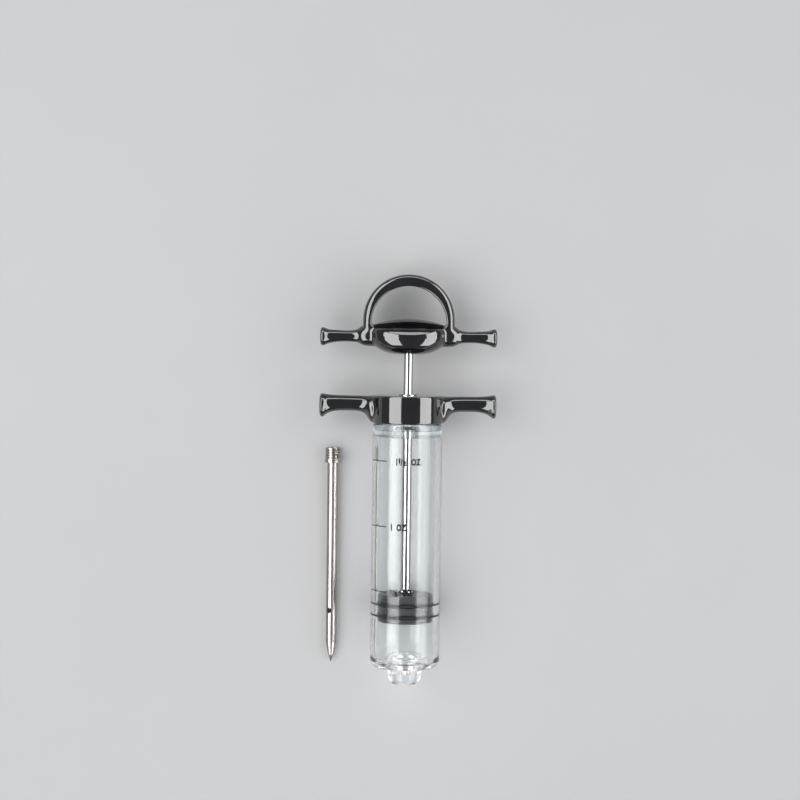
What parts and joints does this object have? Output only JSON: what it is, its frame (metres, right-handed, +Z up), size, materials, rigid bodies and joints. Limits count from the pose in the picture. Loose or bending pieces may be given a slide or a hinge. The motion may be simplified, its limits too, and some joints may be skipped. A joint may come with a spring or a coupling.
{
  "type": "meat injector",
  "caption": "Hand syringe that injects marinade into meat: clear barrel, ring-handled plunger, winged screw cap and a separate threaded needle.",
  "frame": {"origin": "point on the surface it lies on, midway along the length from nozzle to thumb ring and straight below the barrel's axis", "axes": "+Y along the barrel's axis from the nozzle to the thumb ring, +X to the right across the finger wings, +Z up out of the surface"},
  "size_m": [0.0786, 0.182, 0.032],
  "materials": {
    "black_gloss": "high gloss moulded black",
    "clear_plastic": "clear, polished",
    "milky_plastic": "translucent, satin",
    "slate_plastic": "satin dark grey",
    "black_rubber": "soft black",
    "cream_washer": "soft cream",
    "chromed_steel": "mirror plated",
    "stainless_steel": "fine drawn",
    "brass": "turned"
  },
  "bodies": {
    "barrel": {"barrel": "clear_plastic"},
    "cap_seal": {"rod_guide_plug": "milky_plastic", "rod_wiper_seal": "black_rubber", "cap_gasket": "black_rubber"},
    "cap": {"barrel_cap": "black_gloss", "rod_guide_bush": "chromed_steel"},
    "piston": {"piston_core": "slate_plastic", "piston_seal_upper": "black_rubber", "piston_seal_lower": "black_rubber"},
    "plunger": {"thumb_handle": "black_gloss", "handle_insert": "brass", "plunger_rod": "chromed_steel", "piston_washer": "stainless_steel", "piston_nut": "stainless_steel"},
    "nozzle_seal": {"nozzle_gasket": "cream_washer"},
    "nozzle": {"nozzle_adapter": "clear_plastic", "needle_washer": "cream_washer"},
    "needle": {"needle_hub": "stainless_steel", "needle_tube": "stainless_steel", "needle_tip": "stainless_steel"}
  },
  "joints": [
    {"name": "cap_lift", "type": "slide", "parent": "barrel", "child": "cap_seal", "axis": [0, 1, 0], "range_m": [0, 0.006]},
    {"name": "cap_turn", "type": "hinge", "parent": "cap_seal", "child": "cap", "pos_m": [0, 0.031, 0.016], "axis": [0, 1, 0], "range_deg": [0, 720]},
    {"name": "plunger_slide", "type": "slide", "parent": "cap_seal", "child": "piston", "axis": [0, 1, 0], "range_m": [-0.0145, 0.0675]},
    {"name": "handle_turn", "type": "hinge", "parent": "piston", "child": "plunger", "pos_m": [0, 0.06, 0.016], "axis": [0, 1, 0], "continuous": true},
    {"name": "nozzle_drop", "type": "slide", "parent": "barrel", "child": "nozzle_seal", "axis": [0, -1, 0], "range_m": [0, 0.003]},
    {"name": "nozzle_turn", "type": "hinge", "parent": "nozzle_seal", "child": "nozzle", "pos_m": [0, -0.085, 0.016], "axis": [0, -1, 0], "range_deg": [0, 720]},
    {"name": "needle_lift", "type": "slide", "parent": "barrel", "child": "needle", "axis": [0, 0, 1], "range_m": [0, 0.04]}
  ],
  "couplings": [
    {"joint": "cap_lift", "follows": "cap_turn", "m_per_rad": 0.000477},
    {"joint": "nozzle_drop", "follows": "nozzle_turn", "m_per_rad": 0.0002387}
  ]
}
